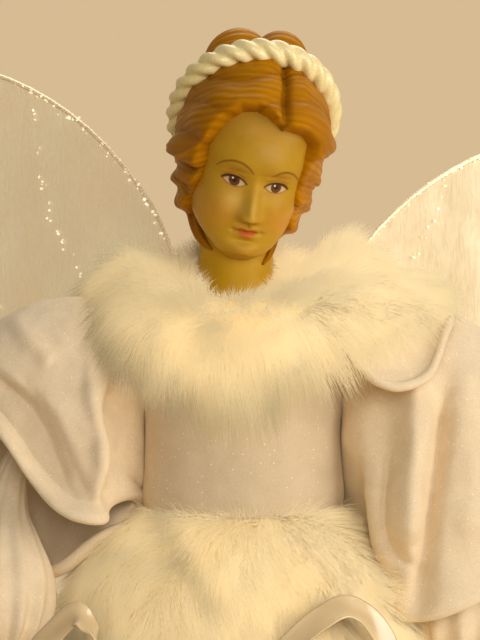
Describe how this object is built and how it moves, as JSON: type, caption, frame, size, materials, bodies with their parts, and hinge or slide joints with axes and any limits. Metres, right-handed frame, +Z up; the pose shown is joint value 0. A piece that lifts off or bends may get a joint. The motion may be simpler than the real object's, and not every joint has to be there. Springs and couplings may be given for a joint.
{
  "type": "angel tree topper",
  "caption": "Angel tree topper: painted doll head and hands, fur-trimmed velvet gown, satin bow and sheer wired wings that fold, on a hollow cone that slips over a treetop.",
  "frame": {"origin": "centre of the tree cone's base, on the plane that it stands on", "axes": "+Z up from the base to the head, -Y the way that the figure faces, +X the viewer's right"},
  "size_m": [0.2405, 0.1528, 0.3561],
  "materials": {
    "cone_card": "plain rolled card",
    "core_pulp": "moulded pulp, unpainted",
    "post_wood": "plain dowel",
    "wire_steel": "bright wire",
    "painted_skin": "painted cast resin, satin",
    "painted_hair": "painted cast resin, satin",
    "rope_pearl": "pearl-white painted cast rope",
    "velvet": "white panne velvet with fine glitter",
    "faux_fur": "long white pile",
    "satin_ribbon": "white satin",
    "organza": "sheer brushed organza with glitter",
    "glitter_wire": "white wire dressed with glitter",
    "bracket_plastic": "moulded plastic"
  },
  "bodies": {
    "figure": {"tree_cone": "cone_card", "torso_core": "core_pulp", "neck_post": "post_wood", "shoulder_rod": "wire_steel", "rod_stop_left": "wire_steel", "rod_stop_right": "wire_steel", "head": "painted_skin", "hair": "painted_hair", "headband_rope": "rope_pearl", "bodice": "velvet", "skirt": "velvet", "fur_collar": "faux_fur", "fur_peplum": "faux_fur", "bow_knot": "satin_ribbon", "bow_loop_left": "satin_ribbon", "bow_loop_right": "satin_ribbon", "bow_tail_left": "satin_ribbon", "bow_tail_right": "satin_ribbon", "wing_bracket": "bracket_plastic", "wing_tack_lower": "wire_steel", "wing_tack_upper": "wire_steel"},
    "arm_left": {"arm_wire_left": "wire_steel", "hand_left": "painted_skin", "under_sleeve_left": "velvet", "bell_sleeve_left": "velvet"},
    "arm_right": {"arm_wire_right": "wire_steel", "hand_right": "painted_skin", "under_sleeve_right": "velvet", "bell_sleeve_right": "velvet"},
    "wing_left": {"wing_frame_left": "glitter_wire", "wing_panel_left": "organza"},
    "wing_right": {"wing_frame_right": "glitter_wire", "wing_panel_right": "organza"}
  },
  "joints": [
    {"name": "arm_left_swing", "type": "hinge", "parent": "figure", "child": "arm_left", "pos_m": [-0.034, 0.001, 0.2748], "axis": [-1, 0, 0], "range_deg": [-10, 20]},
    {"name": "arm_right_swing", "type": "hinge", "parent": "figure", "child": "arm_right", "pos_m": [0.034, 0.001, 0.2748], "axis": [-1, 0, 0], "range_deg": [-10, 20]},
    {"name": "wing_left_fold", "type": "hinge", "parent": "figure", "child": "wing_left", "pos_m": [-0.008, 0.0235, 0.25], "axis": [0, 0, -1], "range_deg": [-10, 55]},
    {"name": "wing_right_fold", "type": "hinge", "parent": "figure", "child": "wing_right", "pos_m": [0.008, 0.0235, 0.25], "axis": [0, 0, 1], "range_deg": [-10, 55]}
  ]
}
